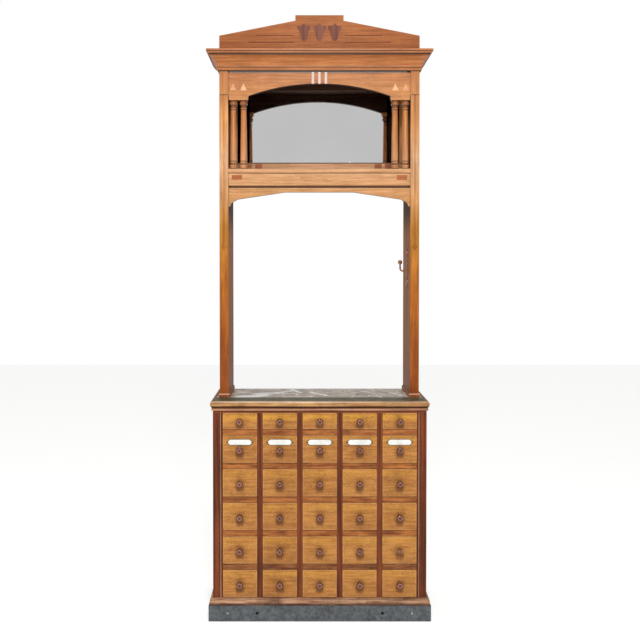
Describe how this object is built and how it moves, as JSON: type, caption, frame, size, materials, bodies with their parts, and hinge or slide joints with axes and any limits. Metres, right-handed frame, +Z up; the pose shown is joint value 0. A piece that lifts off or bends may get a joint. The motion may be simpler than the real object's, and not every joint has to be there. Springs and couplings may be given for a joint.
{
  "type": "apothecary cabinet",
  "caption": "Tall shallow oak pharmacy cabinet: a case of small drawers with turned knobs, a marble worktop and posts carrying an arched mirror niche, cornice and pediment.",
  "frame": {"origin": "centre of the overall box, on the floor", "axes": "+Z up, the drawers and mirror face -Y, +X to the right seen from the front"},
  "size_m": [0.9, 0.4, 2.4],
  "materials": {
    "plinth_stone": "matt, honed bluestone",
    "case_wood": "dark red-brown stained oak, waxed",
    "rail_wood": "red-brown oak, worn and waxed",
    "drawer_wood": "honey oak, varnished",
    "inner_wood": "bare softwood",
    "edge_wood": "worn light oak",
    "upper_wood": "golden oak, satin varnish",
    "column_wood": "turned oak, satin varnish",
    "knob_wood": "turned fruitwood, polished by use",
    "inlay_wood": "darker inlaid wood",
    "light_inlay": "lighter inlaid wood",
    "green_border": "dark green covering, worn",
    "marble": "polished grey-brown marble with white veins",
    "mirror_glass": "silvered glass",
    "enamel": "white enamel on sheet iron",
    "label_edge": "dark enamel edge",
    "pin_metal": "dark round-headed pins",
    "hook_metal": "copper-brown bronze",
    "ball_tip": "black ball"
  },
  "bodies": {
    "cabinet": {"stone_plinth": "plinth_stone", "base_moulding": "case_wood", "carcass_base": "inner_wood", "carcass_sides": "case_wood", "corner_stiles": "case_wood", "back_panels": "inner_wood", "partitions": "case_wood", "drawer_rails": "rail_wood", "drawer_runners": "inner_wood", "carcass_top": "case_wood", "bed_moulding": "case_wood", "worktop_nosing": "edge_wood", "worktop_board": "inner_wood", "green_border": "green_border", "marble_slab": "marble", "posts": "upper_wood", "post_feet": "edge_wood", "shelf_board": "upper_wood", "frieze_rail": "upper_wood", "apron": "upper_wood", "arch_fascia": "upper_wood", "fascia_mouldings": "upper_wood", "columns": "column_wood", "mirror_frame": "upper_wood", "mirror_plate": "mirror_glass", "upper_boards": "inner_wood", "cornice": "upper_wood", "pediment": "upper_wood", "inlays": "inlay_wood", "wall_hook": "hook_metal"},
    "drawer_1_1": {"drawer_1_1": "drawer_wood"},
    "drawer_1_2": {"drawer_1_2": "drawer_wood"},
    "drawer_1_3": {"drawer_1_3": "drawer_wood"},
    "drawer_1_4": {"drawer_1_4": "drawer_wood"},
    "drawer_1_5": {"drawer_1_5": "drawer_wood"},
    "drawer_2_1": {"drawer_2_1": "drawer_wood"},
    "drawer_2_2": {"drawer_2_2": "drawer_wood"},
    "drawer_2_3": {"drawer_2_3": "drawer_wood"},
    "drawer_2_4": {"drawer_2_4": "drawer_wood"},
    "drawer_2_5": {"drawer_2_5": "drawer_wood"},
    "drawer_3_1": {"drawer_3_1": "drawer_wood"},
    "drawer_3_2": {"drawer_3_2": "drawer_wood"},
    "drawer_3_3": {"drawer_3_3": "drawer_wood"},
    "drawer_3_4": {"drawer_3_4": "drawer_wood"},
    "drawer_3_5": {"drawer_3_5": "drawer_wood"},
    "drawer_4_1": {"drawer_4_1": "drawer_wood"},
    "drawer_4_2": {"drawer_4_2": "drawer_wood"},
    "drawer_4_3": {"drawer_4_3": "drawer_wood"},
    "drawer_4_4": {"drawer_4_4": "drawer_wood"},
    "drawer_4_5": {"drawer_4_5": "drawer_wood"},
    "drawer_5_1": {"drawer_5_1": "drawer_wood"},
    "drawer_5_2": {"drawer_5_2": "drawer_wood"},
    "drawer_5_3": {"drawer_5_3": "drawer_wood"},
    "drawer_5_4": {"drawer_5_4": "drawer_wood"},
    "drawer_5_5": {"drawer_5_5": "drawer_wood"},
    "drawer_6_1": {"drawer_6_1": "drawer_wood"},
    "drawer_6_2": {"drawer_6_2": "drawer_wood"},
    "drawer_6_3": {"drawer_6_3": "drawer_wood"},
    "drawer_6_4": {"drawer_6_4": "drawer_wood"},
    "drawer_6_5": {"drawer_6_5": "drawer_wood"}
  },
  "joints": [
    {"name": "drawer_1_1_slide", "type": "slide", "parent": "cabinet", "child": "drawer_1_1", "axis": [0, -1, 0], "range_m": [0, 0.26]},
    {"name": "drawer_1_2_slide", "type": "slide", "parent": "cabinet", "child": "drawer_1_2", "axis": [0, -1, 0], "range_m": [0, 0.26]},
    {"name": "drawer_1_3_slide", "type": "slide", "parent": "cabinet", "child": "drawer_1_3", "axis": [0, -1, 0], "range_m": [0, 0.26]},
    {"name": "drawer_1_4_slide", "type": "slide", "parent": "cabinet", "child": "drawer_1_4", "axis": [0, -1, 0], "range_m": [0, 0.26]},
    {"name": "drawer_1_5_slide", "type": "slide", "parent": "cabinet", "child": "drawer_1_5", "axis": [0, -1, 0], "range_m": [0, 0.26]},
    {"name": "drawer_2_1_slide", "type": "slide", "parent": "cabinet", "child": "drawer_2_1", "axis": [0, -1, 0], "range_m": [0, 0.26]},
    {"name": "drawer_2_2_slide", "type": "slide", "parent": "cabinet", "child": "drawer_2_2", "axis": [0, -1, 0], "range_m": [0, 0.26]},
    {"name": "drawer_2_3_slide", "type": "slide", "parent": "cabinet", "child": "drawer_2_3", "axis": [0, -1, 0], "range_m": [0, 0.26]},
    {"name": "drawer_2_4_slide", "type": "slide", "parent": "cabinet", "child": "drawer_2_4", "axis": [0, -1, 0], "range_m": [0, 0.26]},
    {"name": "drawer_2_5_slide", "type": "slide", "parent": "cabinet", "child": "drawer_2_5", "axis": [0, -1, 0], "range_m": [0, 0.26]},
    {"name": "drawer_3_1_slide", "type": "slide", "parent": "cabinet", "child": "drawer_3_1", "axis": [0, -1, 0], "range_m": [0, 0.26]},
    {"name": "drawer_3_2_slide", "type": "slide", "parent": "cabinet", "child": "drawer_3_2", "axis": [0, -1, 0], "range_m": [0, 0.26]},
    {"name": "drawer_3_3_slide", "type": "slide", "parent": "cabinet", "child": "drawer_3_3", "axis": [0, -1, 0], "range_m": [0, 0.26]},
    {"name": "drawer_3_4_slide", "type": "slide", "parent": "cabinet", "child": "drawer_3_4", "axis": [0, -1, 0], "range_m": [0, 0.26]},
    {"name": "drawer_3_5_slide", "type": "slide", "parent": "cabinet", "child": "drawer_3_5", "axis": [0, -1, 0], "range_m": [0, 0.26]},
    {"name": "drawer_4_1_slide", "type": "slide", "parent": "cabinet", "child": "drawer_4_1", "axis": [0, -1, 0], "range_m": [0, 0.26]},
    {"name": "drawer_4_2_slide", "type": "slide", "parent": "cabinet", "child": "drawer_4_2", "axis": [0, -1, 0], "range_m": [0, 0.26]},
    {"name": "drawer_4_3_slide", "type": "slide", "parent": "cabinet", "child": "drawer_4_3", "axis": [0, -1, 0], "range_m": [0, 0.26]},
    {"name": "drawer_4_4_slide", "type": "slide", "parent": "cabinet", "child": "drawer_4_4", "axis": [0, -1, 0], "range_m": [0, 0.26]},
    {"name": "drawer_4_5_slide", "type": "slide", "parent": "cabinet", "child": "drawer_4_5", "axis": [0, -1, 0], "range_m": [0, 0.26]},
    {"name": "drawer_5_1_slide", "type": "slide", "parent": "cabinet", "child": "drawer_5_1", "axis": [0, -1, 0], "range_m": [0, 0.26]},
    {"name": "drawer_5_2_slide", "type": "slide", "parent": "cabinet", "child": "drawer_5_2", "axis": [0, -1, 0], "range_m": [0, 0.26]},
    {"name": "drawer_5_3_slide", "type": "slide", "parent": "cabinet", "child": "drawer_5_3", "axis": [0, -1, 0], "range_m": [0, 0.26]},
    {"name": "drawer_5_4_slide", "type": "slide", "parent": "cabinet", "child": "drawer_5_4", "axis": [0, -1, 0], "range_m": [0, 0.26]},
    {"name": "drawer_5_5_slide", "type": "slide", "parent": "cabinet", "child": "drawer_5_5", "axis": [0, -1, 0], "range_m": [0, 0.26]},
    {"name": "drawer_6_1_slide", "type": "slide", "parent": "cabinet", "child": "drawer_6_1", "axis": [0, -1, 0], "range_m": [0, 0.26]},
    {"name": "drawer_6_2_slide", "type": "slide", "parent": "cabinet", "child": "drawer_6_2", "axis": [0, -1, 0], "range_m": [0, 0.26]},
    {"name": "drawer_6_3_slide", "type": "slide", "parent": "cabinet", "child": "drawer_6_3", "axis": [0, -1, 0], "range_m": [0, 0.26]},
    {"name": "drawer_6_4_slide", "type": "slide", "parent": "cabinet", "child": "drawer_6_4", "axis": [0, -1, 0], "range_m": [0, 0.26]},
    {"name": "drawer_6_5_slide", "type": "slide", "parent": "cabinet", "child": "drawer_6_5", "axis": [0, -1, 0], "range_m": [0, 0.26]}
  ]
}
